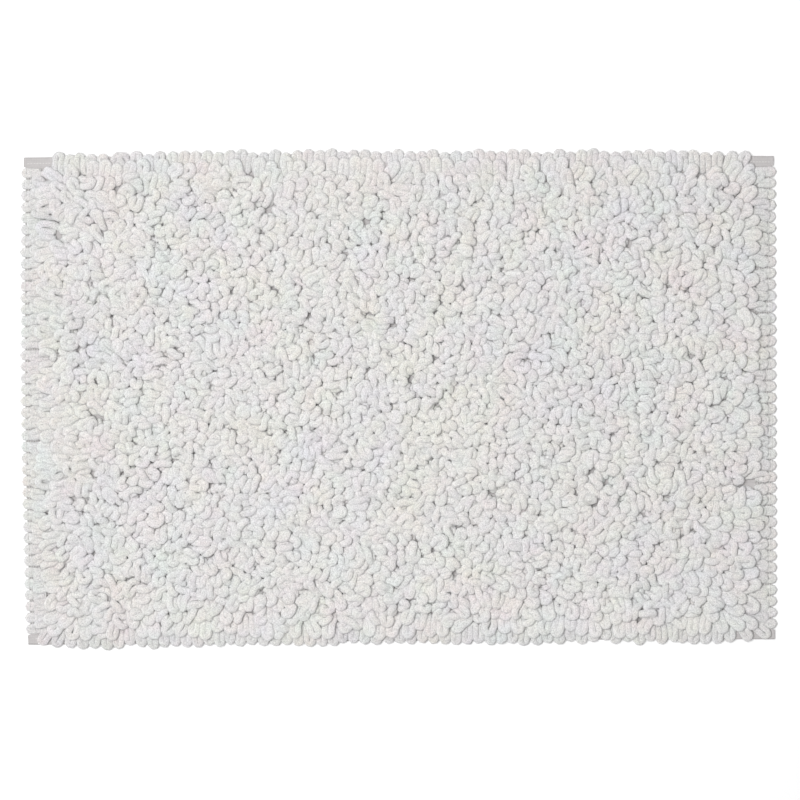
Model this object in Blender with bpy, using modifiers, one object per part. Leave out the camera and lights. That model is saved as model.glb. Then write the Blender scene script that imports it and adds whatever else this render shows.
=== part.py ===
"""Loop-pile bath mat: a woven ground cloth with two stitched hems, and rows of looped yarn woven into it.

Frame: X runs along the rows, Y across them, Z up. The origin is on the floor under the mat's centre.
All sizes are in metres.
"""
import math

import bmesh
import bpy
from mathutils import Matrix

# The ground cloth
CLOTH_LENGTH = 0.7520        # selvedge to selvedge, along the rows
CLOTH_THICKNESS = 0.0018
HEM_MARGIN = 0.0161          # folded edge to the centre of the nearest row
HEM_RISE = 0.0007            # run of the slope up from the outer row's channel onto the hem
HEM_RISE_WALL = 0.0013       # how far the underside of that slope stands outside its top
FOLD_GAP = 0.0004            # between the two layers of the hem

# The rows of yarn
ROW_COUNT = 41
ROW_PITCH = 0.01136
RIB_WIDTH = 0.0016           # cloth between the channels of two rows
FOOT_HEIGHT = 0.0022
CHANNEL_DEPTH = 0.0008       # how deep the cloth's weave holds the foot
SELVEDGE_REACH = 0.0047      # how far a row's turned end stands out past the selvedge
FOOT_TIP_WIDTH = 0.0006      # left between the two rounded corners of that turned end
MAT_HEIGHT = 0.0205          # floor to the top of the loops
LOOP_INSET = 0.0040          # selvedge to the first and last loop of a row
NECK_INSET = 0.0005          # the loops leave the foot this far inside its sides
FLARE_HEIGHT = 0.0016        # over which the loops spread to the full pitch
CROWN_HEIGHT = 0.0050        # rounded top of a row
END_ROUNDING = 0.0040        # rounded ends of a row's loops
HEM_OVERHANG = 0.0081        # how far the outer rows' loops lean out past the fold
LIP_RADIUS = 0.0038          # rounded lower edge of those leaning loops

# The hem seams
SEAM_MARGIN = 0.0024         # raw edge of the folded layer to the seam
THREAD_WIDTH = 0.0008
THREAD_HEIGHT = 0.0005
THREAD_RECESS = 0.0002       # thread top below the cloth's surface
THREAD_END_INSET = 0.0030    # selvedge to the end of the seam

CLEARANCE = 0.0003           # between pieces that touch on the real mat

ARC_STEPS = 3                # straight runs in each quarter of a rounded outline
ROUNDING_SEGMENTS = 1
FOOT_CORNER_SEGMENTS = 3
WELD_DISTANCE = 0.00001

# Worked out from the sizes above
CLOTH_HALF_WIDTH = (ROW_COUNT - 1) * ROW_PITCH / 2 + HEM_MARGIN
CHANNEL_HALF_WIDTH = (ROW_PITCH - RIB_WIDTH) / 2
FOOT_WIDTH = 2 * (CHANNEL_HALF_WIDTH - CLEARANCE)
FOOT_CORNER = (FOOT_WIDTH - FOOT_TIP_WIDTH) / 2
CHANNEL_FLOOR = CLOTH_THICKNESS - CHANNEL_DEPTH
HEM_UPPER_FACE = CLOTH_THICKNESS + FOLD_GAP
HEM_TOP = HEM_UPPER_FACE + CLOTH_THICKNESS
FOOT_BOTTOM = CHANNEL_FLOOR + CLEARANCE
RISE_FOOT = CLOTH_HALF_WIDTH - HEM_MARGIN + CHANNEL_HALF_WIDTH
RISE_TOP = RISE_FOOT + HEM_RISE
RAW_EDGE = RISE_TOP + HEM_RISE_WALL + FOLD_GAP
SEAM = RAW_EDGE + SEAM_MARGIN
LIP_BOTTOM = HEM_TOP + CLEARANCE
GROOVE_HALF_WIDTH = THREAD_WIDTH / 2 + CLEARANCE
GROOVE_DEPTH = THREAD_RECESS + THREAD_HEIGHT + CLEARANCE

# Turns an outline drawn as (across, up) and extruded along its own normal into the mat's frame
OUTLINE_TO_MAT = Matrix(((0, 0, 1, 0), (1, 0, 0, 0), (0, 1, 0, 0), (0, 0, 0, 1)))


def clear_scene():
    for item in list(bpy.data.objects):
        bpy.data.objects.remove(item, do_unlink=True)


def new_collection(name):
    collection = bpy.data.collections.new(name)
    bpy.context.scene.collection.children.link(collection)
    return collection


def fabric_material(name, colour, roughness):
    material = bpy.data.materials.new(name)
    material.use_nodes = True
    shader = material.node_tree.nodes["Principled BSDF"]
    shader.inputs["Base Color"].default_value = (*colour, 1.0)
    shader.inputs["Roughness"].default_value = roughness
    shader.inputs["Metallic"].default_value = 0.0
    material.diffuse_color = (*colour, 1.0)
    return material


def quarter_arc(centre, radii, start):
    """Points over 90 degrees, anticlockwise from the start angle, both ends included."""
    points = []
    for step in range(ARC_STEPS + 1):
        angle = start + step / ARC_STEPS * math.pi / 2
        points.append((centre[0] + radii[0] * math.cos(angle), centre[1] + radii[1] * math.sin(angle)))
    return points


def mirrored(points):
    """The same outline reflected across Y = 0, walked the other way."""
    return [(-across, up) for across, up in reversed(points)]


def outline_mesh(name, points, length):
    """A closed (across, up) outline extruded along X, centred on X = 0, as a welded mesh."""
    curve = bpy.data.curves.new(name, "CURVE")
    curve.dimensions = "2D"
    curve.fill_mode = "BOTH"
    curve.extrude = length / 2
    spline = curve.splines.new("POLY")
    spline.points.add(len(points) - 1)
    for control, (across, up) in zip(spline.points, points):
        control.co = (across, up, 0.0, 1.0)
    spline.use_cyclic_u = True
    sketch = bpy.data.objects.new(name, curve)
    bpy.context.scene.collection.objects.link(sketch)
    bpy.context.view_layer.update()
    mesh = bpy.data.meshes.new_from_object(sketch.evaluated_get(bpy.context.evaluated_depsgraph_get()))
    bpy.data.objects.remove(sketch, do_unlink=True)
    mesh.transform(OUTLINE_TO_MAT)
    solid = bmesh.new()
    solid.from_mesh(mesh)
    bmesh.ops.remove_doubles(solid, verts=solid.verts, dist=WELD_DISTANCE)
    bmesh.ops.recalc_face_normals(solid, faces=solid.faces)
    solid.to_mesh(mesh)
    solid.free()
    mesh.name = name
    return mesh


def mark_for_bevel(mesh, wanted):
    """Gives full bevel weight to each edge that the test accepts."""
    weights = mesh.attributes.new("bevel_weight_edge", "FLOAT", "EDGE")
    for edge in mesh.edges:
        ends = [mesh.vertices[index].co for index in edge.vertices]
        weights.data[edge.index].value = 1.0 if wanted(*ends) else 0.0


def bevelled(item, width, segments):
    bevel = item.modifiers.new("rounding", "BEVEL")
    bevel.limit_method = "WEIGHT"
    bevel.offset_type = "OFFSET"
    bevel.width = width
    bevel.segments = segments
    return bevel


def add_part(collection, name, mesh, material, location=(0, 0, 0)):
    if not mesh.materials:
        mesh.materials.append(material)
    item = bpy.data.objects.new(name, mesh)
    item.location = location
    collection.objects.link(item)
    return item


def row_centre(index):
    """Y of a row, counted from the back (+Y) hem."""
    return ((ROW_COUNT - 1) / 2 - index) * ROW_PITCH


def channel_points(centre):
    """The groove that the weave leaves for one row's foot, walked towards -Y."""
    back, front = centre + CHANNEL_HALF_WIDTH, centre - CHANNEL_HALF_WIDTH
    return [(back, CLOTH_THICKNESS), (back, CHANNEL_FLOOR), (front, CHANNEL_FLOOR), (front, CLOTH_THICKNESS)]


def back_hem_points():
    """Section of the back hem: along the underside to the fold, round it, and back over the top."""
    fold_radius = HEM_TOP / 2
    fold_centre = (CLOTH_HALF_WIDTH - fold_radius, fold_radius)
    groove_back, groove_front = SEAM + GROOVE_HALF_WIDTH, SEAM - GROOVE_HALF_WIDTH
    underside = [
        (RISE_FOOT + HEM_RISE_WALL, 0.0),
        (RISE_TOP + HEM_RISE_WALL, HEM_UPPER_FACE),
        (CLOTH_HALF_WIDTH - CLOTH_THICKNESS, HEM_UPPER_FACE),
        (CLOTH_HALF_WIDTH - CLOTH_THICKNESS, CLOTH_THICKNESS),
        (RAW_EDGE, CLOTH_THICKNESS),
        (RAW_EDGE, 0.0),
        (groove_front, 0.0),
        (groove_front, GROOVE_DEPTH),
        (groove_back, GROOVE_DEPTH),
        (groove_back, 0.0),
    ]
    fold = quarter_arc(fold_centre, (fold_radius, fold_radius), -math.pi / 2)
    fold += quarter_arc(fold_centre, (fold_radius, fold_radius), 0.0)[1:]
    top = [
        (groove_back, HEM_TOP),
        (groove_back, HEM_TOP - GROOVE_DEPTH),
        (groove_front, HEM_TOP - GROOVE_DEPTH),
        (groove_front, HEM_TOP),
        (RISE_TOP, HEM_TOP),
    ]
    return underside + fold + top


def make_base_cloth(collection, material):
    hem = back_hem_points()
    channels = [point for index in range(ROW_COUNT) for point in channel_points(row_centre(index))]
    mesh = outline_mesh("base_cloth", hem + channels + mirrored(hem), CLOTH_LENGTH)
    add_part(collection, "base_cloth", mesh, material)


def upright_loops():
    """Section of the loops of a row that has neighbours on both sides."""
    neck = FOOT_WIDTH / 2 - NECK_INSET
    half_width = (ROW_PITCH - CLEARANCE) / 2
    flare_bottom = FOOT_BOTTOM + FOOT_HEIGHT / 2
    flare_top = flare_bottom + FLARE_HEIGHT
    shoulder = MAT_HEIGHT - CROWN_HEIGHT
    side = [(neck, flare_bottom), (half_width, flare_top)]
    crown = quarter_arc((0.0, shoulder), (half_width, CROWN_HEIGHT), 0.0)
    return side + crown + mirrored(side + crown[:-1])


def leaning_loops():
    """Section of the back row's loops, which lean out over the hem."""
    neck = FOOT_WIDTH / 2 - NECK_INSET
    reach = HEM_MARGIN + HEM_OVERHANG
    flare_bottom = FOOT_BOTTOM + FOOT_HEIGHT / 2
    lip_centre = (reach - LIP_RADIUS, LIP_BOTTOM + LIP_RADIUS)
    lip = quarter_arc(lip_centre, (LIP_RADIUS, LIP_RADIUS), -math.pi / 2)
    crown = quarter_arc((0.0, lip_centre[1]), (reach, MAT_HEIGHT - lip_centre[1]), 0.0)[1:]
    inner = mirrored(upright_loops()[:2 + ARC_STEPS])
    return [(neck, flare_bottom), (neck, LIP_BOTTOM)] + lip + crown + inner


def make_row_mesh(cutters, name, loops_outline):
    """One row: a flat foot with turned ends, and the mass of its loops standing on it."""
    foot_length = CLOTH_LENGTH + 2 * SELVEDGE_REACH
    foot_mesh = bpy.data.meshes.new(name + "_foot")
    block = bmesh.new()
    bmesh.ops.create_cube(block, size=1.0)
    bmesh.ops.scale(block, verts=block.verts, vec=(foot_length, FOOT_WIDTH, FOOT_HEIGHT))
    bmesh.ops.translate(block, verts=block.verts, vec=(0.0, 0.0, FOOT_BOTTOM + FOOT_HEIGHT / 2))
    block.to_mesh(foot_mesh)
    block.free()
    mark_for_bevel(foot_mesh, lambda a, b: a.x == b.x and a.y == b.y)
    foot = bpy.data.objects.new(name + "_foot", foot_mesh)
    foot.display_type = "WIRE"
    foot.hide_render = True
    cutters.objects.link(foot)
    bevelled(foot, FOOT_CORNER, FOOT_CORNER_SEGMENTS)

    loops_mesh = outline_mesh(name + "_loops", loops_outline, CLOTH_LENGTH - 2 * LOOP_INSET)
    flare_bottom = FOOT_BOTTOM + FOOT_HEIGHT / 2
    mark_for_bevel(loops_mesh, lambda a, b: a.x == b.x and max(a.z, b.z) > flare_bottom + FLARE_HEIGHT / 2)
    loops = bpy.data.objects.new(name + "_loops", loops_mesh)
    loops.display_type = "WIRE"
    loops.hide_render = True
    cutters.objects.link(loops)
    bevelled(loops, END_ROUNDING, ROUNDING_SEGMENTS)
    join = loops.modifiers.new("on_foot", "BOOLEAN")
    join.operation = "UNION"
    join.solver = "EXACT"
    join.object = foot
    bpy.context.view_layer.update()
    evaluated = loops.evaluated_get(bpy.context.evaluated_depsgraph_get())
    mesh = bpy.data.meshes.new_from_object(evaluated)
    mesh.name = name
    return mesh


def make_pile_rows(collection, cutters, material):
    inner_mesh = make_row_mesh(cutters, "inner_row", upright_loops())
    back_mesh = make_row_mesh(cutters, "back_row", leaning_loops())
    for index in range(ROW_COUNT):
        outer = index in (0, ROW_COUNT - 1)
        name = f"pile_row_{index + 1:02d}"
        mesh = back_mesh if outer else inner_mesh
        row = add_part(collection, name, mesh, material, (0.0, row_centre(index), 0.0))
        if index == ROW_COUNT - 1:
            row.rotation_euler.z = math.pi


def make_hem_threads(collection, material):
    """The needle thread on the top and the bobbin thread underneath, in each hem."""
    length = CLOTH_LENGTH - 2 * THREAD_END_INSET
    heights = {"needle": HEM_TOP - THREAD_RECESS - THREAD_HEIGHT / 2, "bobbin": THREAD_RECESS + THREAD_HEIGHT / 2}
    for side, sign in (("back", 1), ("front", -1)):
        for thread, height in heights.items():
            name = f"{thread}_thread_{side}"
            mesh = bpy.data.meshes.new(name)
            bar = bmesh.new()
            bmesh.ops.create_cube(bar, size=1.0)
            bmesh.ops.scale(bar, verts=bar.verts, vec=(length, THREAD_WIDTH, THREAD_HEIGHT))
            bar.to_mesh(mesh)
            bar.free()
            add_part(collection, name, mesh, material, (0.0, sign * SEAM, height))


def main():
    clear_scene()
    mat_collection = new_collection("bath_mat")
    cutters = new_collection("cutters")
    cloth = fabric_material("woven_cotton", (0.66, 0.65, 0.63), 0.92)
    yarn = fabric_material("soft_cotton_yarn", (0.72, 0.71, 0.69), 0.95)
    thread = fabric_material("sewing_thread", (0.76, 0.75, 0.73), 0.70)
    make_base_cloth(mat_collection, cloth)
    make_pile_rows(mat_collection, cutters, yarn)
    make_hem_threads(mat_collection, thread)


main()
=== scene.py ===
import math
import bmesh
import bpy
import numpy as np
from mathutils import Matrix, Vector


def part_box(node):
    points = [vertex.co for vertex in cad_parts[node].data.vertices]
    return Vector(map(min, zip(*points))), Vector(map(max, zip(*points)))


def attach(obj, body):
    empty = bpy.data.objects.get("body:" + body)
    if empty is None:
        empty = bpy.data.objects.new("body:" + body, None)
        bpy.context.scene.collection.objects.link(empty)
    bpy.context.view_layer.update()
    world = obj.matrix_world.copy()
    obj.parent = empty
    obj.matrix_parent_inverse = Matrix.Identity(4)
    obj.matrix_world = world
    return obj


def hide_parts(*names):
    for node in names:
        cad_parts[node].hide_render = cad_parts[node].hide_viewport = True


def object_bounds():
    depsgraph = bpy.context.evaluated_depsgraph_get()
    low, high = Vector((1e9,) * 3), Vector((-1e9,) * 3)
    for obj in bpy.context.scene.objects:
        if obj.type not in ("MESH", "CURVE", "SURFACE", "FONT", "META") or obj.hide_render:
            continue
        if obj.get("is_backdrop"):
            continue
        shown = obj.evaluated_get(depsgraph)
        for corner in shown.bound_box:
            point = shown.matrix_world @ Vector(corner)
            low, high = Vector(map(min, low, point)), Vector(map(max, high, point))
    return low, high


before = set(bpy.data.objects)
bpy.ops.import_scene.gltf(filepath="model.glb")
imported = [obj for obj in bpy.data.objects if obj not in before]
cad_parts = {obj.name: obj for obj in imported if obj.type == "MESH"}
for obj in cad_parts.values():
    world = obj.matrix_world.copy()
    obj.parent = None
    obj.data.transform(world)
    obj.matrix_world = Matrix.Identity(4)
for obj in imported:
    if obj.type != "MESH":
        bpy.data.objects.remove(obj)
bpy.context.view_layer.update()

# the places that the frame gives: the cloth's edges and the middle line of each row
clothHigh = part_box("base_cloth")[1]
halfLength, halfWidth, hemTop = clothHigh.x, clothHigh.y, clothHigh.z
rowNames = sorted(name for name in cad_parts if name.startswith("pile_row_"))
innerRowY = [sum(corner.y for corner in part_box(name)) / 2 for name in rowNames[1:-1]]
rowPitch = (innerRowY[0] - innerRowY[-1]) / (len(innerRowY) - 1)
rowY = [innerRowY[0] + rowPitch, *innerRowY, innerRowY[-1] - rowPitch]
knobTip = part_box(rowNames[1])[1].x
clothLayer = 0.0018             # room that one layer of the cloth takes up

# how the mat was put down: a soft cloth's edges are never quite straight (metres)
lay = {
    "backReach": 0.0017,
    "backCrown": 0.0022,
    "backLeftDrop": 0.0016,
    "frontReach": 0.0023,
    "frontLeftDrop": 0.0040,
    "frontRightRise": 0.0015,
    "leftBow": 0.0026,
    "leftBowMiddle": 0.3,       # a share of the half width, from the middle towards the back
    "leftFrontPull": 0.0015,
    "rightReach": 0.0008,
    "rightFrontPush": 0.0010,
}

pile = {
    "seed": 11,
    "loops": 63,                # in each row
    "loopPitch": 0.01144,
    "backCornersOut": 1,        # loops missing at each end of the back row, which leaves its corners bare
    "shiftAlong": 0.0009,       # how far a loop's foot strays from its place, along its row
    "shiftAcross": 0.0004,
    "yarnRadius": 0.00380,
    "touchRadius": 0.00292,     # soft yarns press into each other
    "legLength": 0.0158,
    "legSpread": 0.14,
    "shorterAtSides": 0.20,     # the outermost loops show less of their length
    "shorterAtHems": 0.12,
    "outermostFrom": 0.8,
    "longerNearEdges": 0.18,    # and the next few show more
    "slimmerOutermost": 0.15,
    # painted shade: the outermost loops are painted darker, to dim loops that the lamps and the bright
    # floor light more than the inner ones
    "paintedShadeOutermost": 0.9,
    "driftScale": 0.070,        # neighbouring loops lean alike over about this distance
    "driftWaves": 10,
    "driftRange": (0.7, 1.6),
    "drift": 0.18,
    "sway": 0.28,
    "ownLean": 0.62,
    "edgeLean": 1.5,            # loops near an edge lean outwards
    "edgeReachX": 0.014,
    "edgeReachY": 0.019,
    "edgeOrder": 0.45,          # and are that much less disordered
    "leanLimits": (0.3, 1.6),
    "startLean": 0.002,
    "turn": 0.9,
    "edgeTurn": 0.3,
    "turnHeight": 0.5,          # a share of the leg, above which a loop is fully turned
    "tipSpacing": 0.0126,
    "tipReach": 0.0080,
    "tipRounds": 60,
    "tipPush": 0.2,
    "pointsPerLoop": 17,
    "footHeight": 0.0033,
    "footSquash": 0.75,         # the cloth grips the yarn where it passes through
    "footRise": 2.5,
    "sides": 10,
    "step": 0.0025,
    "unevenness": 0.0011,
    "bumpSize": 0.0042,
}

settling = {
    "steps": 110,
    "restSteps": 25,
    "passes": 5,
    "fall": 0.00020,
    "lean": 0.00018,
    "looseTop": 0.030,          # the pile's height as it is pressed down
    "pressedTop": 0.0190,
    "pressedAt": 0.8,
    "fadeOver": 0.15,
    "press": 0.5,
    "searchEvery": 4,
    "searchSpare": 0.0016,
    "ownNeighbours": 3,         # points of the same yarn that are never in contact
    "contactRelax": 1.3,
    "sharpestBend": 1.62,       # distance between every other point, in steps
    "easyBend": 1.97,
    "easyShare": 0.06,
    "hemEdge": 0.0115,
    "hemSlope": 0.001,
    "floorSlope": 0.002,
    "floorClearance": 0.0006,
}


def smoothStep(value):
    value = np.clip(value, 0, 1)
    return value * value * (3 - 2 * value)


def layDown(points):
    # moves points from the straight plan to where the mat really lies
    x, y = points[..., 0] / halfLength, points[..., 1] / halfWidth
    back, front = smoothStep((1 + y) / 2), smoothStep((1 - y) / 2)
    left, right = smoothStep((1 - x) / 2), smoothStep((1 + x) / 2)
    backShift = lay["backReach"] + lay["backCrown"] * (1 - x * x) - lay["backLeftDrop"] * left ** 3
    frontShift = -lay["frontReach"] - lay["frontLeftDrop"] * left ** 4 + lay["frontRightRise"] * right ** 2
    leftShift = -lay["leftBow"] * (1 - (y - lay["leftBowMiddle"]) ** 2) + lay["leftFrontPull"] * front ** 3
    rightShift = lay["rightReach"] + lay["rightFrontPush"] * front
    moved = points.copy()
    moved[..., 1] += backShift * back + frontShift * front
    moved[..., 0] += leftShift * left ** 3 + rightShift * right ** 3
    return moved


def driftField(x, y, random):
    # a smooth field over the mat, made of a few plane waves
    total = np.zeros_like(x)
    for _ in range(pile["driftWaves"]):
        angle, phase = random.uniform(0, 2 * math.pi, 2)
        rate = 2 * math.pi / (pile["driftScale"] * random.uniform(*pile["driftRange"]))
        total += np.cos(rate * (x * math.cos(angle) + y * math.sin(angle)) + phase)
    return total / math.sqrt(pile["driftWaves"] / 2)


def closePairs(points, reach):
    # every pair of points nearer than reach, found cell by cell
    cell = np.floor((points - points.min(0)) / reach).astype(np.int64) + 1
    span = cell.max(0) + 2
    key = (cell[:, 0] * span[1] + cell[:, 1]) * span[2] + cell[:, 2]
    order = np.argsort(key, kind="stable")
    key, sortedPoints = key[order], points[order]
    count = len(points)
    found = []
    for dx, dy in ((0, 0), (0, 1), (1, -1), (1, 0), (1, 1)):
        shift = (dx * span[1] + dy) * span[2]
        start = np.arange(count) + 1 if shift == 0 else np.searchsorted(key, key + shift - 1, "left")
        stop = np.searchsorted(key, key + shift + 1, "right")
        partners = np.maximum(stop - start, 0)
        first = np.repeat(np.arange(count), partners)
        steps = np.arange(partners.sum()) - np.repeat(np.cumsum(partners) - partners, partners)
        second = np.repeat(start, partners) + steps
        near = ((sortedPoints[first] - sortedPoints[second]) ** 2).sum(1) < reach * reach
        found.append(np.stack([order[first[near]], order[second[near]]]))
    return np.concatenate(found, 1)


def netMove(first, second, push, count):
    # what a push on each pair of points adds up to, for each point
    return np.bincount(second, push[1], count) - np.bincount(first, push[0], count)


def spaceTips(feet, lean, freedom):
    # nudges where the loops will lean until their tips cover the mat evenly
    tips = feet + lean * pile["tipReach"]
    for _ in range(pile["tipRounds"]):
        first, second = closePairs(np.column_stack([tips, np.zeros(len(tips))]), pile["tipSpacing"])
        gap = tips[second] - tips[first]
        distance = np.linalg.norm(gap, axis=1)[:, None] + 1e-9
        push = gap / distance * (pile["tipSpacing"] - distance) * pile["tipPush"]
        for axis in range(2):
            move = netMove(first, second, (push[:, axis], push[:, axis]), len(tips))
            tips[:, axis] += move * freedom
    return (tips - feet) / pile["tipReach"]


def planLoops(random):
    # where each loop stands, which way it will lean, and how near an edge it is
    loopsX = (np.arange(pile["loops"]) - (pile["loops"] - 1) / 2) * pile["loopPitch"]
    row, loop = np.meshgrid(np.arange(len(rowY)), np.arange(pile["loops"]), indexing="ij")
    fromEnd = np.minimum(loop, pile["loops"] - 1 - loop)
    kept = ~((row == 0) & (fromEnd < pile["backCornersOut"]))
    row, loop = row[kept], loop[kept]
    x = loopsX[loop] + random.normal(0, pile["shiftAlong"], len(row))
    y = np.array(rowY)[row] + random.normal(0, pile["shiftAcross"], len(row))
    drift = pile["drift"] * driftField(x, y, random)
    sway = pile["sway"] * driftField(x, y, random)
    lean = np.stack([drift, sway], 1)
    lean += random.normal(0, pile["ownLean"], lean.shape)
    edgeX, edgeY = loopsX[-1], rowY[0]
    reachX, reachY = pile["edgeReachX"], pile["edgeReachY"]
    outward = np.stack([np.exp((x - edgeX) / reachX) - np.exp((-x - edgeX) / reachX),
                        np.exp((y - edgeY) / reachY) - np.exp((-y - edgeY) / reachY)], 1)
    edge = np.clip(np.abs(outward).max(1), 0, 1)
    lean = lean * (1 - pile["edgeOrder"] * edge)[:, None] + pile["edgeLean"] * outward
    lean = spaceTips(np.stack([x, y], 1), lean, 1 - edge)
    return row, loop, x, y, lean, outward, edge


def standLoops(random):
    # upright U-shaped loops, each turned to lie flat in the direction that it will lean
    row, loop, x, y, lean, outward, edge = planLoops(random)
    strength = np.linalg.norm(lean, axis=1)
    direction = lean / np.maximum(strength, 1e-6)[:, None]
    strength = np.clip(strength, *pile["leanLimits"])
    turn = random.normal(0, pile["turn"], len(row)) * (1 - pile["edgeTurn"] * edge)
    side = np.stack([-direction[:, 1] * np.cos(turn) - direction[:, 0] * np.sin(turn),
                     direction[:, 0] * np.cos(turn) - direction[:, 1] * np.sin(turn)], 1)
    side *= np.where(side[:, 0] < 0, -1, 1)[:, None]
    leg = pile["legLength"] * random.uniform(1 - pile["legSpread"], 1 + pile["legSpread"], len(row))
    leg *= 1 + pile["longerNearEdges"] * np.clip(4 * edge * (1 - edge), 0, 1)
    atSide, atHem = (np.abs(outward[:, axis]) > pile["outermostFrom"] for axis in range(2))
    leg = (leg * (1 - np.maximum(pile["shorterAtHems"] * atHem, pile["shorterAtSides"] * atSide)))[:, None]
    radius = pile["yarnRadius"]
    total = 2 * leg + math.pi * radius
    along = np.linspace(0, 1, pile["pointsPerLoop"])[None, :] * total
    onArc = np.clip((along - leg) / radius, 0, math.pi)
    across = -radius * np.cos(onArc)
    up = np.minimum(np.minimum(along, total - along), leg) + radius * np.sin(onArc)
    turned = smoothStep(up / (pile["turnHeight"] * pile["legLength"]))
    sideX, sideY = (1 - turned) + turned * side[:, :1], turned * side[:, 1:]
    size = np.hypot(sideX, sideY) + 1e-9
    points = np.stack([x[:, None] + across * sideX / size, y[:, None] + across * sideY / size,
                       pile["footHeight"] + up], 2)
    tip = pile["startLean"] * direction * strength[:, None]
    points[..., :2] += tip[:, None, :] * (up / pile["legLength"])[..., None] ** 2
    return points, total[:, 0] / (pile["pointsPerLoop"] - 1), direction * strength[:, None], row, loop


def restingHeight(points):
    # top of the cloth and of the raised hems, and the floor outside them
    fromFold = halfWidth - np.abs(points[..., 1])
    hem = np.clip((settling["hemEdge"] - fromFold) / settling["hemSlope"], 0, 1)
    height = clothLayer + (hemTop - clothLayer) * hem
    beyond = np.maximum(-fromFold, np.abs(points[..., 0]) - knobTip)
    outside = np.clip(beyond / settling["floorSlope"], 0, 1)
    return height + (settling["floorClearance"] - height) * outside


def spread(points, first, second, rest, excess, free):
    # moves two sets of points along their joining lines towards a rest distance
    gap = points[:, second] - points[:, first]
    length = np.sqrt((gap * gap).sum(2)) + 1e-9
    freeFirst, freeSecond = free[first].astype(float), free[second].astype(float)
    change = excess(length, rest) / length / np.maximum(freeFirst + freeSecond, 1)
    points[:, first] += gap * (change * freeFirst)[..., None]
    points[:, second] -= gap * (change * freeSecond)[..., None]


def excessLength(length, rest):
    return length - rest


def excessBend(length, rest):
    # firm against a sharp bend, and a little springy in any
    sharp = np.clip(settling["sharpestBend"] * rest - length, 0, None)
    return -sharp - settling["easyShare"] * np.clip(settling["easyBend"] * rest - length, 0, None)


def pushApart(flat, first, second, shareFirst, movable, diameter):
    # contact between yarns, shared out over the points that touch
    gap = flat[second] - flat[first]
    distance = np.sqrt((gap * gap).sum(1)) + 1e-9
    hit = distance < diameter
    a, b = first[hit], second[hit]
    push = gap[hit] * ((diameter - distance[hit]) / distance[hit])[:, None]
    pushA, pushB = push * shareFirst[hit, None], push * (1 - shareFirst[hit])[:, None]
    touches = np.bincount(a, minlength=len(flat)) + np.bincount(b, minlength=len(flat))
    relax = movable * settling["contactRelax"] / np.maximum(touches, settling["contactRelax"])
    for axis in range(3):
        flat[:, axis] += netMove(a, b, (pushA[:, axis], pushB[:, axis]), len(flat)) * relax


def holdTogether(points, rest, free):
    # the yarn's stiffness, then its length
    size = points.shape[1]
    for start in range(3):
        middle = np.arange(start, size - 2, 3)
        spread(points, middle, middle + 2, rest, excessBend, free)
    for _ in range(2):
        for start in range(2):
            ends = np.arange(start, size - 1, 2)
            spread(points, ends, ends + 1, rest, excessLength, free)


def settleLoops(points, rest, lean):
    # gravity, lean and pressure lay the loops down; length, stiffness and contact hold them up
    count, size, _ = points.shape
    weight = np.sin(np.linspace(0, math.pi, size))
    diameter = 2 * pile["touchRadius"]
    flat = points.reshape(-1, 3)
    owner, place = np.repeat(np.arange(count), size), np.tile(np.arange(size), count)
    free = np.ones(size, bool)
    free[[0, -1]] = False
    movable = np.tile(free, count).astype(float)
    steps = settling["steps"]
    speed = settling["steps"] / steps
    looseTop, pressedTop = settling["looseTop"], settling["pressedTop"]
    for step in range(steps + settling["restSteps"]):
        share = min(1, step / steps)
        top = looseTop + (pressedTop - looseTop) * min(1, share / settling["pressedAt"])
        force = speed * min(1, max(0, (1 - share) / settling["fadeOver"]))
        points[:, :, 2] -= settling["fall"] * force * weight
        points[:, :, :2] += (lean * settling["lean"] * force)[:, None, :] * weight[None, :, None]
        if step % settling["searchEvery"] == 0:
            first, second = closePairs(flat, diameter + settling["searchSpare"])
            apart = np.abs(place[first] - place[second]) > settling["ownNeighbours"]
            other = (owner[first] != owner[second]) | apart
            first, second = first[other], second[other]
            shareFirst = movable[first] / np.maximum(movable[first] + movable[second], 1)
        for _ in range(settling["passes"]):
            pushApart(flat, first, second, shareFirst, movable, diameter)
            holdTogether(points, rest[:, None], free)
            ground = restingHeight(points) + pile["touchRadius"]
            points[..., 2] = np.where((points[..., 2] < ground) & free, ground, points[..., 2])
            over = points[..., 2] - (top - pile["yarnRadius"])
            points[..., 2] -= np.where((over > 0) & free, settling["press"] * over, 0)
    stretch = np.linalg.norm(np.diff(points, axis=1), axis=2).sum(1) / (rest * (size - 1))
    tops = points[..., 2].max(1) + pile["yarnRadius"]
    print("settled", count, "loops; stretch", np.percentile(stretch, [50, 99]).round(3),
          "tops mm", (np.percentile(tops, [5, 50, 95]) * 1000).round(1))
    return points


class Value:
    # one socket that gives a value; arithmetic on a number adds Math nodes
    def __init__(self, graph, socket):
        self.graph = graph
        self.socket = socket

    def math(self, operation, *others):
        return self.graph.add("ShaderNodeMath", {"operation": operation}, self, *others)

    def output(self, name):
        # another output of the same node
        return Value(self.graph, self.socket.node.outputs[name])

    def __add__(self, other):
        return self.math("ADD", other)

    def __sub__(self, other):
        return self.math("SUBTRACT", other)

    def __rsub__(self, other):
        return self.graph.add("ShaderNodeMath", {"operation": "SUBTRACT"}, other, self)

    def __mul__(self, other):
        return self.math("MULTIPLY", other)

    __radd__ = __add__
    __rmul__ = __mul__


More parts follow.
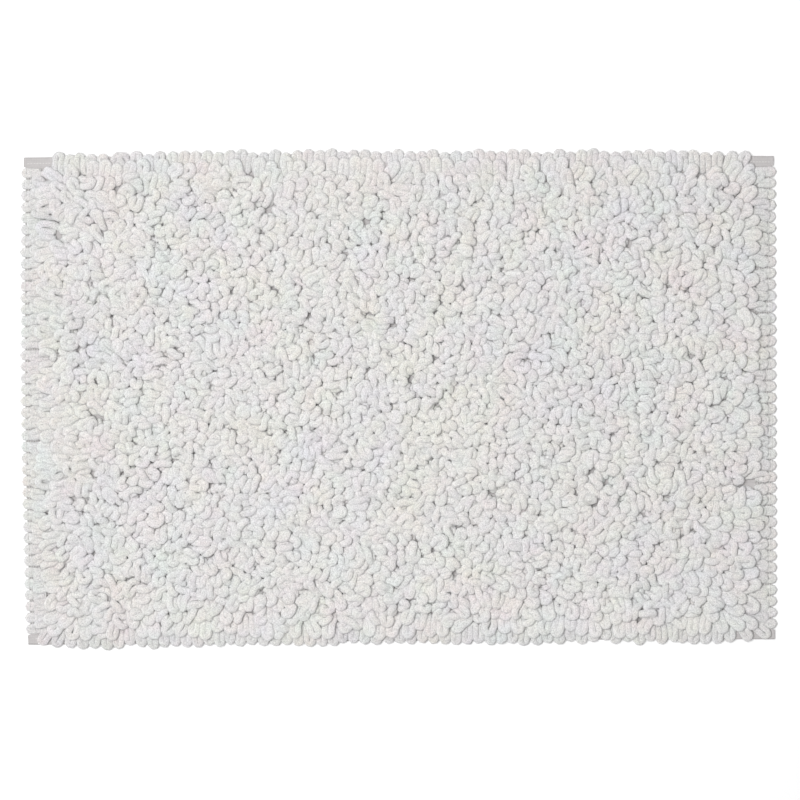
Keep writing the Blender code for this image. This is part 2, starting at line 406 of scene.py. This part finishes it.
class Graph:
    # a node tree that is filled by one method
    def __init__(self, tree):
        self.tree = tree

    def connect(self, item, socket):
        if isinstance(item, Value):
            self.tree.links.new(item.socket, socket)
        else:
            socket.default_value = item

    def feed(self, node, *ordered, **named):
        # values or links for a node's sockets, in their order or by their names
        usable = [socket for socket in node.inputs if socket.enabled]
        for item, socket in zip(ordered, usable):
            self.connect(item, socket)
        for name, item in named.items():
            wanted = name.replace("_", " ").lower()
            self.connect(item, next(socket for socket in usable if socket.name.lower() == wanted))

    def add(self, kind, settings=None, *ordered, output=0, **named):
        # any node: its settings first, then its sockets; gives back one of its outputs
        node = self.tree.nodes.new(kind)
        for name, value in (settings or {}).items():
            setattr(node, name, value)
        self.feed(node, *ordered, **named)
        usable = [socket for socket in node.outputs if socket.enabled]
        return Value(self, usable[output] if isinstance(output, int) else node.outputs[output])


def newTree(name, inputs):
    # a geometry node tree with named inputs, given as label: (socket type, default)
    tree = bpy.data.node_groups.new(name, "GeometryNodeTree")
    tree.interface.new_socket(name="Geometry", in_out="INPUT", socket_type="NodeSocketGeometry")
    tree.interface.new_socket(name="Geometry", in_out="OUTPUT", socket_type="NodeSocketGeometry")
    for label, (kind, default) in inputs.items():
        socket = tree.interface.new_socket(name=label, in_out="INPUT", socket_type="NodeSocket" + kind)
        if default is not None:
            socket.default_value = default
    graph = Graph(tree)
    group = tree.nodes.new("NodeGroupInput")
    return graph, {socket.name: Value(graph, socket) for socket in group.outputs if socket.name}


def finishTree(graph, geometry, material):
    # smooth faces, real geometry and a material end every tree
    geometry = graph.add("GeometryNodeSetShadeSmooth", Geometry=geometry, Shade_Smooth=True)
    geometry = graph.add("GeometryNodeRealizeInstances", Geometry=geometry)
    geometry = graph.add("GeometryNodeSetMaterial", Geometry=geometry, Material=material)
    graph.connect(geometry, graph.tree.nodes.new("NodeGroupOutput").inputs[0])
    return graph.tree


def plainMesh(item):
    # keeps only the mesh that the object's modifier gives
    bpy.context.view_layer.update()
    mesh = bpy.data.meshes.new_from_object(item.evaluated_get(bpy.context.evaluated_depsgraph_get()))
    item.modifiers.clear()
    old, item.data = item.data, mesh
    bpy.data.meshes.remove(old)
    mesh.name = item.name
    turnOutwards(mesh)


def runTree(item, tree, values):
    # gives the modifier its inputs by identifier, before it is first evaluated
    modifier = item.modifiers.new(tree.name, "NODES")
    modifier.node_group = tree
    for socket in tree.interface.items_tree:
        if socket.item_type == "SOCKET" and socket.in_out == "INPUT" and socket.name in values:
            modifier[socket.identifier] = values[socket.name]
    plainMesh(item)


def turnOutwards(mesh):
    # a sweep can come out inside out: its volume then measures negative
    mesh.calc_loop_triangles()
    points = np.empty(len(mesh.vertices) * 3, np.float32)
    mesh.vertices.foreach_get("co", points)
    corners = np.empty(len(mesh.loop_triangles) * 3, np.int32)
    mesh.loop_triangles.foreach_get("vertices", corners)
    a, b, c = (points.reshape(-1, 3)[corners.reshape(-1, 3)[:, i]].astype(float) for i in range(3))
    if (a * np.cross(b, c)).sum() < 0:
        mesh.flip_normals()


def lineObject(name, lines, **attributes):
    # an object of open polylines; attributes are one list of numbers per line
    edges = []
    start = 0
    for line in lines:
        steps = np.arange(start, start + len(line) - 1)
        edges.append(np.stack([steps, steps + 1], 1))
        start += len(line)
    mesh = bpy.data.meshes.new(name)
    mesh.from_pydata(np.concatenate(lines).tolist(), np.concatenate(edges).tolist(), [])
    for label, values in attributes.items():
        attribute = mesh.attributes.new(label, "FLOAT", "POINT")
        attribute.data.foreach_set("value", np.concatenate(values).astype(np.float32))
    item = bpy.data.objects.new(name, mesh)
    bpy.context.scene.collection.objects.link(item)
    return item


def yarnTree():
    # sweeps a soft round section along each line; "ring" and "along" let a material follow the yarn
    graph, given = newTree("sweepYarn", {
        "Yarn Radius": ("Float", 0.003), "Sides": ("Int", 8), "Step": ("Float", 0.003),
        "Unevenness": ("Float", 0.0002), "Bump Size": ("Float", 0.012), "Material": ("Material", None)})
    line = graph.add("GeometryNodeMeshToCurve", Mesh=given["Geometry"])
    line = graph.add("GeometryNodeCurveSplineType", {"spline_type": "CATMULL_ROM"}, Curve=line)
    line = graph.add("GeometryNodeResampleCurve", {"mode": "LENGTH"}, Curve=line, Length=given["Step"])
    squash = graph.add("GeometryNodeInputNamedAttribute", {"data_type": "FLOAT"}, Name="squash")
    length = graph.add("GeometryNodeSplineParameter", output="Length")
    line = graph.add("GeometryNodeStoreNamedAttribute", {"data_type": "FLOAT", "domain": "POINT"},
                     Geometry=line, Name="along", Value=length)
    section = graph.add("GeometryNodeCurvePrimitiveCircle", {"mode": "RADIUS"},
                        Resolution=given["Sides"], Radius=1.0)
    place = graph.add("GeometryNodeInputPosition")
    section = graph.add("GeometryNodeStoreNamedAttribute", {"data_type": "FLOAT_VECTOR", "domain": "POINT"},
                        Geometry=section, Name="ring", Value=place)
    tube = graph.add("GeometryNodeCurveToMesh", Curve=line, Profile_Curve=section,
                     Scale=given["Yarn Radius"] * squash, Fill_Caps=True)
    sizes = graph.add("ShaderNodeCombineXYZ", {}, *[given["Bump Size"]] * 3)
    scaled = graph.add("ShaderNodeVectorMath", {"operation": "DIVIDE"}, place, sizes)
    noise = graph.add("ShaderNodeTexNoise", {"noise_dimensions": "3D"}, Vector=scaled, Scale=1.0,
                      Detail=3.0)
    swell = (noise - 0.5) * 2 * given["Unevenness"]
    normal = graph.add("GeometryNodeInputNormal")
    shift = graph.add("ShaderNodeVectorMath", {"operation": "SCALE"}, Vector=normal, Scale=swell)
    tube = graph.add("GeometryNodeSetPosition", Geometry=tube, Offset=shift)
    return finishTree(graph, tube, given["Material"])


def sweepYarn(item, radius, settings, material):
    runTree(item, sweep, {"Yarn Radius": radius, "Sides": settings["sides"], "Step": settings["step"],
                          "Unevenness": settings["unevenness"], "Bump Size": settings["bumpSize"],
                          "Material": material})


cotton = {
    "sheenRoughness": 0.5,
    "specular": 0.25,
}


def newMaterial(name, finish):
    # a matt cotton material; what is the same all over sits on the shader's own sockets
    material = bpy.data.materials.new(name)
    material.use_nodes = True
    graph = Graph(material.node_tree)
    shader = material.node_tree.nodes["Principled BSDF"]
    graph.feed(shader, Roughness=finish["roughness"], Sheen_Weight=finish["sheen"],
               Sheen_Roughness=cotton["sheenRoughness"], Specular_IOR_Level=cotton["specular"])
    return material, graph, shader


def noiseOn(graph, place, scale, detail, roughness=0.5):
    return graph.add("ShaderNodeTexNoise", Vector=place, Scale=scale, Detail=detail, Roughness=roughness)


yarnFinish = {
    "colour": (0.730, 0.714, 0.697),
    "roughness": 0.92,
    "diffuseRoughness": 1.0,
    "sheen": 1.0,
    "subsurface": 0.35,
    "subsurfaceScale": 0.003,
    "warmScale": 30.0,          # slow drifts of tint, from rosy to bluish and from violet to greenish
    "warmDrift": 0.128,
    "greenScale": 36.0,
    "greenDrift": 0.112,
    "strands": 9,
    "twist": 420,
    "fibresRound": 3.2,
    "fibresAlong": 260,
    "fibreScale": 2.2,
    "fibreTone": 0.16,
    "matScale": 800.0,          # painted shade: the thin hollows between the fibres, where the bump sinks, are painted a little darker
    "paintedHollowShade": 1.25,
    "loopToneAndEdgeShade": 0.05,           # and each loop has its own tone; the outermost loops also get painted shade
    # painted shade: the grooves between the plies are painted a little darker
    "paintedGrooveShade": 0.012,
    "bump": 0.8,
    "bumpDepth": 0.0015,
    "twistBump": 0.12,
    "fibreBump": 0.5,
    "matBump": 1.3,
}


def yarnMaterial():
    material, graph, shader = newMaterial("soft_cotton_yarn", yarnFinish)
    graph.feed(shader, Diffuse_Roughness=yarnFinish["diffuseRoughness"],
               Subsurface_Weight=yarnFinish["subsurface"], Subsurface_Radius=(1, 1, 1),
               Subsurface_Scale=yarnFinish["subsurfaceScale"])
    ring = graph.add("ShaderNodeAttribute", {"attribute_name": "ring"}, output="Vector")
    along = graph.add("ShaderNodeAttribute", {"attribute_name": "along"}, output="Fac")
    shade = graph.add("ShaderNodeAttribute", {"attribute_name": "shade"}, output="Fac")
    ringX = graph.add("ShaderNodeSeparateXYZ", {}, ring)
    ringY = ringX.output("Y")
    angle = ringX.math("ARCTAN2", ringY)
    twist = (angle * yarnFinish["strands"] + along * yarnFinish["twist"]).math("SINE")
    fibreSpace = graph.add("ShaderNodeCombineXYZ", X=ringX * yarnFinish["fibresRound"],
                           Y=ringY * yarnFinish["fibresRound"], Z=along * yarnFinish["fibresAlong"])
    fibres = noiseOn(graph, fibreSpace, yarnFinish["fibreScale"], 4.0, 0.6)
    place = graph.add("ShaderNodeTexCoord", output="Object")
    warmth = (noiseOn(graph, place, yarnFinish["warmScale"], 3.0) - 0.5) * yarnFinish["warmDrift"]
    green = (noiseOn(graph, place, yarnFinish["greenScale"], 4.0) - 0.5) * yarnFinish["greenDrift"]
    tint = graph.add("ShaderNodeCombineXYZ", X=1 + warmth - green * 0.5, Y=1 + green,
                     Z=1 - warmth - green * 0.5)
    matted = noiseOn(graph, place, yarnFinish["matScale"], 2.0, 0.6)
    # painted shade: the tone drops where the bump sinks into fibre hollows and ply grooves, and on the
    # outermost loops
    tone = 1 + (fibres - 0.5) * yarnFinish["fibreTone"] + (matted - 0.5) * yarnFinish["paintedHollowShade"]
    tone = tone + (shade - 0.5) * yarnFinish["loopToneAndEdgeShade"] + twist * yarnFinish["paintedGrooveShade"]
    coloured = graph.add("ShaderNodeVectorMath", {"operation": "MULTIPLY"}, tint, yarnFinish["colour"])
    toned = graph.add("ShaderNodeVectorMath", {"operation": "SCALE"}, Vector=coloured, Scale=tone)
    height = twist * yarnFinish["twistBump"] + fibres * yarnFinish["fibreBump"]
    height = height + matted * yarnFinish["matBump"]
    bump = graph.add("ShaderNodeBump", Strength=yarnFinish["bump"], Distance=yarnFinish["bumpDepth"],
                     Height=height)
    graph.feed(shader, Base_Color=toned, Normal=bump)
    return material


clothFinish = {
    # painted shade: the cloth is painted darker than the yarn, so the gaps between the loops, where it
    # shows, read as shaded
    "light": (0.585, 0.560, 0.555, 1),
    "dark": (0.468, 0.446, 0.442, 1),
    "threadsPerMetre": 640,
    "roughness": 0.9,
    "sheen": 0.1,
    "paintedWeaveShade": 0.6,
    "slubScale": 300.0,
    "slubTone": 0.5,
    "slubBump": 0.3,
    "bump": 0.6,
    "bumpDepth": 0.0005,
}


def clothMaterial():
    # a plain weave: each thread passes over one and under the next
    material, graph, shader = newMaterial("woven_cotton", clothFinish)
    plan = graph.add("ShaderNodeUVMap", {"uv_map": "weave"})
    acrossWarp = graph.add("ShaderNodeSeparateXYZ", {}, plan)
    warp = acrossWarp * clothFinish["threadsPerMetre"]
    weft = acrossWarp.output("Y") * clothFinish["threadsPerMetre"]
    warpRound = (warp * math.pi).math("SINE").math("ABSOLUTE")
    weftRound = (weft * math.pi).math("SINE").math("ABSOLUTE")
    over = ((warp.math("FLOOR") + weft.math("FLOOR")) * 0.5).math("FRACT") * 2
    height = over * warpRound + (1 - over) * weftRound
    place = graph.add("ShaderNodeTexCoord", output="Object")
    slub = noiseOn(graph, place, clothFinish["slubScale"], 3.0)
    # painted shade: each thread is painted darker towards its edges, where it dips under its neighbour; the
    # slubs add their own tone
    paintedShadeAndSlub = height * clothFinish["paintedWeaveShade"] + slub * clothFinish["slubTone"]
    colour = graph.add("ShaderNodeMix", {"data_type": "RGBA"}, Factor=paintedShadeAndSlub, A=clothFinish["dark"],
                       B=clothFinish["light"])
    bump = graph.add("ShaderNodeBump", Strength=clothFinish["bump"], Distance=clothFinish["bumpDepth"],
                     Height=height + slub * clothFinish["slubBump"])
    graph.feed(shader, Base_Color=colour, Normal=bump)
    return material


threadFinish = {
    "dark": (0.70, 0.69, 0.67, 1),
    "light": (0.82, 0.81, 0.79, 1),
    "roughness": 0.6,
    "sheen": 0.15,
    "plyScale": 900.0,
    "bump": 0.4,
    "bumpDepth": 0.0002,
}


def threadMaterial():
    material, graph, shader = newMaterial("sewing_thread", threadFinish)
    place = graph.add("ShaderNodeTexCoord", output="Object")
    plies = noiseOn(graph, place, threadFinish["plyScale"], 2.0)
    colour = graph.add("ShaderNodeMix", {"data_type": "RGBA"}, Factor=plies, A=threadFinish["dark"],
                       B=threadFinish["light"])
    bump = graph.add("ShaderNodeBump", Strength=threadFinish["bump"], Distance=threadFinish["bumpDepth"],
                     Height=plies)
    graph.feed(shader, Base_Color=colour, Normal=bump)
    return material


random = np.random.default_rng(pile["seed"])
yarn = yarnMaterial()
cloth = clothMaterial()
thread = threadMaterial()
sweep = yarnTree()
print("materials and the yarn's tree made")

selvedge = {
    "turnRadius": 0.00225,      # the knob where a row's yarn turns back
    "turnPoints": 5,
    "tailLength": 0.014,
    "tailStart": 0.007,
    "returnLength": 0.006,
    "returnAside": 0.9,         # how far aside the yarn lies on its way back, in turn radii
    "footAside": 0.5,
    "warpsEachSide": 8,
    "warpPitch": 0.0024,
    "warpRadius": 0.00048,
    "firstWarp": 0.0008,        # in from the cloth's edge
    "aboveFloor": 0.0003,
    "beyondRows": 0.004,
    "pointsPerRow": 7,
    "steepness": 1.6,
    "sink": 0.6,                # a warp's height over a row, in warp radii
    "shades": (0.2, 0.8),
    "sides": 6,
    "step": 0.0015,
    "unevenness": 0.00004,
    "bumpSize": 0.003,
}


def turnedEnds(y, startX, endX):
    # the yarn's two ends, each turned back round the outermost warps and tucked in
    turn, foot = selvedge["turnRadius"], pile["footHeight"]
    bendX = knobTip - pile["yarnRadius"] * pile["footSquash"] - turn
    arc = np.linspace(math.pi / 2, -math.pi / 2, selvedge["turnPoints"])
    aside = turn * selvedge["footAside"]
    left = [(selvedge[place] - bendX, y + turn, foot) for place in ("tailLength", "tailStart")]
    left += [(-(bendX + turn * math.cos(a)), y + turn * math.sin(a), foot) for a in arc]
    left += [(selvedge["returnLength"] - bendX, y - turn * selvedge["returnAside"], foot)]
    right = [(-px, 2 * y - py, pz) for px, py, pz in reversed(left)]
    left += [((startX - bendX + selvedge["returnLength"]) / 2, y - aside, foot)]
    right = [((endX + bendX - selvedge["returnLength"]) / 2, y + aside, foot)] + right
    return np.array(left), np.array(right)


def rowPath(y, loopPoints, loopShade, loopSize):
    # one length of yarn: a turned end, every loop in order, and the other turned end
    squash = pile["footSquash"]
    left, right = turnedEnds(y, loopPoints[0, 0, 0], loopPoints[-1, -1, 0])
    points, shades, squashes = [left], [np.full(len(left), 0.5)], [np.full(len(left), squash)]
    for index, loop in enumerate(loopPoints):
        if index:
            points.append((loopPoints[index - 1, -1] + loop[0])[None] / 2)
            shades.append(loopShade[index:index + 1])
            squashes.append(np.array([squash]))
        rise = np.clip(np.sin(np.linspace(0, math.pi, len(loop))) * pile["footRise"], 0, 1)
        points.append(loop)
        shades.append(np.full(len(loop), loopShade[index]))
        squashes.append(squash + (loopSize[index] - squash) * rise)
    points.append(right)
    shades.append(np.full(len(right), 0.5))
    squashes.append(np.full(len(right), squash))
    return np.concatenate(points), np.concatenate(shades), np.concatenate(squashes)


points, rest, lean, loopRow, loopPlace = standLoops(random)
points = settleLoops(points, rest, lean)
atHems = (loopRow == 0) | (loopRow == len(rowY) - 1)
outermost = atHems | (loopPlace == 0) | (loopPlace == pile["loops"] - 1)
# each loop's own tone, less painted shade on the outermost loops
shades = random.uniform(0, 1, len(points)) - pile["paintedShadeOutermost"] * outermost
sizes = 1 - pile["slimmerOutermost"] * outermost
for index, name in enumerate(rowNames):
    mine = loopRow == index
    path, shade, squash = rowPath(rowY[index], points[mine], shades[mine], sizes[mine])
    row = lineObject("yarn_row_" + name[-2:], [layDown(path)], shade=[shade], squash=[squash])
    sweepYarn(row, pile["yarnRadius"], pile, yarn)
    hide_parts(name)
    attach(row, "root")

base = {
    "columns": 61,
    "wall": 0.0016,             # the cloth itself, thinner than the room that its layer takes up
    "ribHeight": 0.0009,
    "ribSteps": 10,
    "foldSteps": 6,
    "underSteps": 6,
    "overSteps": 8,
    "hemFold": 0.0088,
    "hemReach": 0.0022,
    "hemStepTop": 0.0056,       # beyond the outermost row, where the hem's edge steps down
    "hemStepFoot": 0.0042,
    "edgeScallop": 0.0010,
    "hemScallop": 0.3,
    "edgeSharpness": 20,
    "wrinkle": 0.0005,
    "wrinklesAlong": (310, 83),
    "wrinklesAcross": 190,
    "wrinkleBend": 3,
    "wrinkleStart": 1.3,
    "hemFrom": 0.6,             # a share of the hem's height, above which the cloth is wrinkled
}


def clothSection():
    # the cloth's middle surface from one raw edge, round both folds, to the other
    upper, lower = hemTop - clothLayer / 2, clothLayer / 2
    foldRadius = (upper - lower) / 2
    foldY = halfWidth - clothLayer / 2 - foldRadius
    stepTop, stepFoot = rowY[0] + base["hemStepTop"], rowY[0] + base["hemStepFoot"]
    rawEdge = foldY - base["hemFold"] + foldRadius
    under = [(y, lower) for y in np.linspace(rawEdge, foldY, base["underSteps"])]
    arc = [(foldY + foldRadius * math.cos(a), (upper + lower) / 2 + foldRadius * math.sin(a))
           for a in np.linspace(-math.pi / 2, math.pi / 2, base["foldSteps"] + 1)[1:]]
    over = [(y, upper) for y in np.linspace(foldY, stepTop, base["overSteps"])[1:]]
    step = rowPitch / base["ribSteps"]
    middle = np.arange(stepFoot, -stepFoot - step / 2, -step)
    ribs = [(y, lower + base["ribHeight"] * (0.5 + 0.5 * math.cos(2 * math.pi * (y - rowY[0]) / rowPitch)))
            for y in middle]
    half = under + arc + over
    section = np.array(half + ribs + [(-y, z) for y, z in reversed(half)])
    distance = np.concatenate([[0], np.cumsum(np.linalg.norm(np.diff(section, axis=0), axis=1))])
    return section, distance


def clothPlan(section, x):
    # the section along the whole mat, with scalloped side edges and slightly wavy hems
    plan = np.zeros((len(section), len(x), 3))
    plan[..., 0] = x[None, :]
    plan[..., 1] = section[:, :1]
    plan[..., 2] = section[:, 1:]
    inRows = np.abs(section[:, 0]) < rowY[0] + rowPitch / 2
    wave = 0.5 + 0.5 * np.cos(2 * math.pi * (section[:, 0] - rowY[0]) / rowPitch)
    scallop = np.where(inRows, wave, base["hemScallop"])
    atEdge = np.sign(x) * (np.abs(x) / halfLength) ** base["edgeSharpness"]
    plan[..., 0] += base["edgeScallop"] * (scallop - 0.5)[:, None] * atEdge[None, :]
    plan[..., 0] += base["hemReach"] * (1 - inRows)[:, None] * atEdge[None, :]
    onHem = plan[..., 2] > hemTop * base["hemFrom"]
    fine, broad = base["wrinklesAlong"]
    bend = base["wrinkleBend"] * np.sin(plan[..., 1] * base["wrinklesAcross"])
    folds = np.sin(plan[..., 0] * fine + bend) * np.sin(plan[..., 0] * broad + base["wrinkleStart"])
    plan[..., 2] += onHem * base["wrinkle"] * folds
    return layDown(plan)


def makeCloth():
    section, distance = clothSection()
    x = halfLength * np.sin(np.linspace(-math.pi / 2, math.pi / 2, base["columns"]))
    mesh = bpy.data.meshes.new("base_cloth_woven")
    shape = bmesh.new()
    corners = [[shape.verts.new(place) for place in line] for line in clothPlan(section, x)]
    weave = shape.loops.layers.uv.new("weave")
    for i in range(len(section) - 1):
        for j in range(len(x) - 1):
            around = ((i, j), (i, j + 1), (i + 1, j + 1), (i + 1, j))
            face = shape.faces.new([corners[a][b] for a, b in around])
            face.smooth = True
            for loop, (a, b) in zip(face.loops, around):
                loop[weave].uv = (x[b], distance[a])
    shape.to_mesh(mesh)
    shape.free()
    mesh.materials.append(cloth)
    item = bpy.data.objects.new("base_cloth_woven", mesh)
    bpy.context.scene.collection.objects.link(item)
    wall = item.modifiers.new("thickness", "SOLIDIFY")
    wall.thickness = base["wall"]
    wall.offset = 0
    plainMesh(item)
    return item, distance[-1]


woven, clothWidth = makeCloth()
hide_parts("base_cloth")
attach(woven, "root")
print("base cloth made, flat width", round(clothWidth, 4))


def selvedgeWarps():
    # the outermost warp threads, over one row's foot and under the next
    beyond = selvedge["beyondRows"]
    ys = np.arange(rowY[0] + beyond, rowY[-1] - beyond, -rowPitch / selvedge["pointsPerRow"])
    top = pile["footHeight"] + pile["yarnRadius"] * pile["footSquash"]
    top += selvedge["warpRadius"] * selvedge["sink"]
    low = selvedge["warpRadius"] + selvedge["aboveFloor"]
    steep = selvedge["steepness"]
    lines, shades = [], []
    for side in (-1, 1):
        for k in range(selvedge["warpsEachSide"]):
            x = side * (halfLength - selvedge["firstWarp"] - k * selvedge["warpPitch"])
            wave = np.cos(math.pi * (ys - rowY[0]) / rowPitch + k * math.pi)
            z = (top + low) / 2 + (top - low) / 2 * np.tanh(steep * wave) / math.tanh(steep)
            lines.append(layDown(np.stack([np.full(len(ys), x), ys, z], 1)))
            shades.append(np.full(len(ys), random.uniform(*selvedge["shades"])))
    item = lineObject("selvedge_warps", lines, shade=shades, squash=[np.ones(len(line)) for line in lines])
    sweepYarn(item, selvedge["warpRadius"], selvedge, thread)
    return item


warps = selvedgeWarps()
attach(warps, "root")
print("selvedge warps:", 2 * selvedge["warpsEachSide"])

seam = {
    "pitch": 0.0030,
    "stitchLength": 0.0027,
    "threadRadius": 0.00028,
    "aboveHem": 0.0001,
    "pathPoints": 120,
}


def stitchTree():
    # one short rounded stitch at every step of the line
    graph, given = newTree("layStitches", {
        "Stitch Pitch": ("Float", 0.003), "Stitch Length": ("Float", 0.0026),
        "Thread Radius": ("Float", 0.0003), "Material": ("Material", None)})
    line = graph.add("GeometryNodeMeshToCurve", Mesh=given["Geometry"])
    line = graph.add("GeometryNodeResampleCurve", {"mode": "LENGTH"}, Curve=line,
                     Length=given["Stitch Pitch"])
    tangent = graph.add("GeometryNodeInputTangent")
    aim = graph.add("FunctionNodeAlignEulerToVector", {"axis": "X"}, Vector=tangent)
    stitch = graph.add("GeometryNodeMeshUVSphere", Segments=6, Rings=5, Radius=1.0)
    size = graph.add("ShaderNodeCombineXYZ", X=given["Stitch Length"] * 0.5, Y=given["Thread Radius"],
                     Z=given["Thread Radius"])
    placed = graph.add("GeometryNodeInstanceOnPoints", Points=line, Instance=stitch, Rotation=aim,
                       Scale=size)
    return finishTree(graph, placed, given["Material"])


stitches = stitchTree()
for name in ("needle_thread_back", "needle_thread_front", "bobbin_thread_back", "bobbin_thread_front"):
    low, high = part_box(name)
    height = hemTop + seam["aboveHem"] if name.startswith("needle") else seam["threadRadius"]
    path = np.full((seam["pathPoints"], 3), height)
    path[:, 0] = np.linspace(low.x, high.x, seam["pathPoints"])
    path[:, 1] = (low.y + high.y) / 2
    item = lineObject(name + "_stitches", [layDown(path)])
    runTree(item, stitches, {"Stitch Pitch": seam["pitch"], "Stitch Length": seam["stitchLength"],
                             "Thread Radius": seam["threadRadius"], "Material": thread})
    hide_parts(name)
    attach(item, "root")

studio = {
    "floorSize": 6,
    "floorHeight": -0.0002,
    "floorColour": (0.99, 0.985, 0.98, 1),
    "floorRoughness": 0.9,
    "worldColour": (1, 1, 1, 1),
    "worldStrength": 0.17,
    "lightColour": (0.985, 0.993, 1.0),
    "top_light": {"place": (-0.33, 0.05, 2.35), "size": 0.9, "energy": 57.0},
    "back_light": {"place": (-0.3, 1.9, 1.7), "size": 0.8, "energy": 5.5},
    "lens": 100,
    "sensor": 36,
    "viewWidth": 0.80464,       # metres across the view at the height of the pile
    "viewMiddle": (0.001, -0.0020, 0.015),
    "clipEnd": 20,
}


def makeFloor():
    bpy.ops.mesh.primitive_plane_add(size=studio["floorSize"], location=(0, 0, studio["floorHeight"]))
    floor = bpy.context.object
    floor.name = "studio_floor"
    material = bpy.data.materials.new("studio_floor")
    material.use_nodes = True
    shader = material.node_tree.nodes["Principled BSDF"]
    shader.inputs["Base Color"].default_value = studio["floorColour"]
    shader.inputs["Roughness"].default_value = studio["floorRoughness"]
    floor.data.materials.append(material)
    floor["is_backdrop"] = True


def makeLight(name):
    settings = studio[name]
    lamp = bpy.data.lights.new(name, "AREA")
    lamp.shape = "SQUARE"
    lamp.size = settings["size"]
    lamp.energy = settings["energy"]
    lamp.color = studio["lightColour"]
    item = bpy.data.objects.new(name, lamp)
    item.location = settings["place"]
    item.rotation_mode = "QUATERNION"
    item.rotation_quaternion = (-Vector(settings["place"])).to_track_quat("-Z", "Y")
    bpy.context.scene.collection.objects.link(item)


def makeWorld():
    world = bpy.data.worlds.new("studio")
    world.use_nodes = True
    background = world.node_tree.nodes["Background"]
    background.inputs["Color"].default_value = studio["worldColour"]
    background.inputs["Strength"].default_value = studio["worldStrength"]
    bpy.context.scene.world = world
    bpy.context.scene.view_settings.view_transform = "Standard"


def makeCamera():
    # straight above, far enough for the view's width
    camera = bpy.data.cameras.new("camera")
    camera.lens = studio["lens"]
    camera.sensor_width = studio["sensor"]
    camera.clip_end = studio["clipEnd"]
    item = bpy.data.objects.new("camera", camera)
    x, y, z = studio["viewMiddle"]
    item.location = (x, y, z + studio["viewWidth"] * camera.lens / camera.sensor_width)
    bpy.context.scene.collection.objects.link(item)
    bpy.context.scene.camera = item


makeFloor()
makeLight("top_light")
makeLight("back_light")
makeWorld()
makeCamera()
low, high = (list(corner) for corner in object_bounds())
